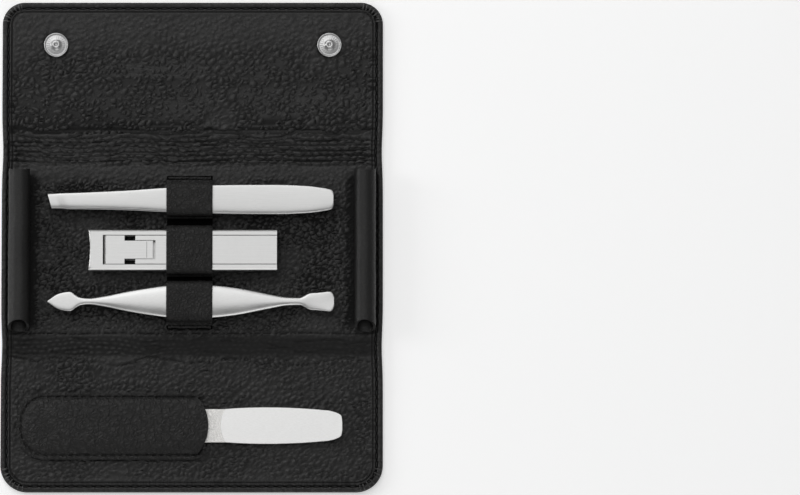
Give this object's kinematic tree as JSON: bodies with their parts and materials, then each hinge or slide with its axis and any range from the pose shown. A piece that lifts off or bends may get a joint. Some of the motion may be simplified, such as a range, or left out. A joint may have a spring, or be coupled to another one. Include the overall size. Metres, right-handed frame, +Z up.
{
  "type": "manicure set case",
  "caption": "Tri-fold black leather manicure case with snap studs, side rolls, strap and file pocket, holding tweezers, nail clipper, cuticle pusher and nail file.",
  "frame": {"origin": "middle of the open case's outline, on the surface that it lies on", "axes": "+X to the right along the tools, +Y towards the closing flap, +Z up out of the lining"},
  "size_m": [0.12, 0.156, 0.0079],
  "materials": {
    "black_leather": "pebbled, soft sheen",
    "leather_lining": "pebbled, creased at the folds",
    "strap_leather": "smooth grain",
    "stiffener_board": "raw board",
    "satin_steel": "satin",
    "snap_chrome": "bright nickel",
    "badge_metal": "polished",
    "badge_enamel": "glossy enamel",
    "file_grit": "fine grit coating"
  },
  "bodies": {
    "back": {"leather_back": "black_leather", "board_back": "stiffener_board", "lining_back": "leather_lining", "side_roll_left": "black_leather", "side_roll_right": "black_leather", "strap_base": "strap_leather", "strap_tweezer_loop": "strap_leather", "strap_clipper_loop": "strap_leather", "strap_pusher_loop": "strap_leather"},
    "top_spine": {"leather_top_spine": "black_leather", "lining_top_spine": "leather_lining"},
    "flap": {"leather_flap": "black_leather", "board_flap": "stiffener_board", "lining_flap": "leather_lining", "snap_stud_left": "snap_chrome", "snap_stud_right": "snap_chrome", "snap_rivet_left": "snap_chrome", "snap_rivet_right": "snap_chrome", "badge_frame": "badge_metal", "badge_enamel": "badge_enamel"},
    "bottom_spine": {"leather_bottom_spine": "black_leather", "lining_bottom_spine": "leather_lining"},
    "front": {"leather_front": "black_leather", "board_front": "stiffener_board", "lining_front": "leather_lining", "snap_socket_left": "snap_chrome", "snap_socket_right": "snap_chrome", "file_pocket": "strap_leather"},
    "tweezers": {"tweezer_lower_arm": "satin_steel", "tweezer_weld": "satin_steel"},
    "tweezer_arm": {"tweezer_upper_arm": "satin_steel"},
    "clipper": {"clipper_lower_jaw": "satin_steel", "clipper_rear_block": "satin_steel", "clipper_link_pin": "satin_steel"},
    "clipper_jaw": {"clipper_upper_jaw": "satin_steel"},
    "clipper_hook": {"clipper_link": "satin_steel", "clipper_lever_pin": "satin_steel"},
    "clipper_handle": {"clipper_lever": "satin_steel"},
    "pusher": {"cuticle_pusher": "satin_steel"},
    "file": {"file_blade": "file_grit", "file_handle": "satin_steel"}
  },
  "joints": [
    {"name": "top_spine_fold", "type": "hinge", "parent": "back", "child": "top_spine", "pos_m": [0, 0.0248, 0.0019], "axis": [1, 0, 0], "range_deg": [0, 90]},
    {"name": "flap_fold", "type": "hinge", "parent": "top_spine", "child": "flap", "pos_m": [0, 0.036, 0.0019], "axis": [1, 0, 0], "range_deg": [0, 90]},
    {"name": "bottom_spine_fold", "type": "hinge", "parent": "back", "child": "bottom_spine", "pos_m": [0, -0.0276, 0.0019], "axis": [-1, 0, 0], "range_deg": [0, 90]},
    {"name": "front_fold", "type": "hinge", "parent": "bottom_spine", "child": "front", "pos_m": [0, -0.036, 0.0019], "axis": [-1, 0, 0], "range_deg": [0, 90]},
    {"name": "tweezer_slide", "type": "slide", "parent": "back", "child": "tweezers", "axis": [-1, 0, 0], "range_m": [-0.058, 0], "deforming": ["side_roll_right"]},
    {"name": "tweezer_squeeze", "type": "hinge", "parent": "tweezers", "child": "tweezer_arm", "pos_m": [0.03, 0.0145, 0.0052], "axis": [0, -1, 0], "range_deg": [0, 1.3], "stiffness_Nm_per_rad": 0.5},
    {"name": "clipper_slide", "type": "slide", "parent": "back", "child": "clipper", "axis": [-1, 0, 0], "range_m": [-0.023, 0]},
    {"name": "clipper_squeeze", "type": "hinge", "parent": "clipper", "child": "clipper_jaw", "pos_m": [0.0191, -0.0017, 0.00485], "axis": [0, -1, 0], "range_deg": [0, 0.9], "stiffness_Nm_per_rad": 2},
    {"name": "clipper_link_turn", "type": "hinge", "parent": "clipper", "child": "clipper_hook", "pos_m": [-0.0261, -0.0017, 0.00465], "axis": [0, 1, 0], "range_deg": [-80, 0], "deforming": ["strap_clipper_loop"]},
    {"name": "clipper_lever_turn", "type": "hinge", "parent": "clipper_hook", "child": "clipper_handle", "pos_m": [-0.0141, -0.0017, 0.00555], "axis": [0, -1, 0], "range_deg": [-64, 0]},
    {"name": "pusher_slide", "type": "slide", "parent": "back", "child": "pusher", "axis": [1, 0, 0], "range_m": [-0.058, 0], "deforming": ["side_roll_left"]},
    {"name": "file_slide", "type": "slide", "parent": "front", "child": "file", "axis": [-1, 0, 0], "range_m": [-0.052, 0]}
  ],
  "couplings": [
    {"joint": "flap_fold", "follows": "top_spine_fold", "ratio": 1},
    {"joint": "front_fold", "follows": "bottom_spine_fold", "ratio": 1},
    {"joint": "clipper_lever_turn", "follows": "clipper_link_turn", "ratio": 0.8}
  ]
}
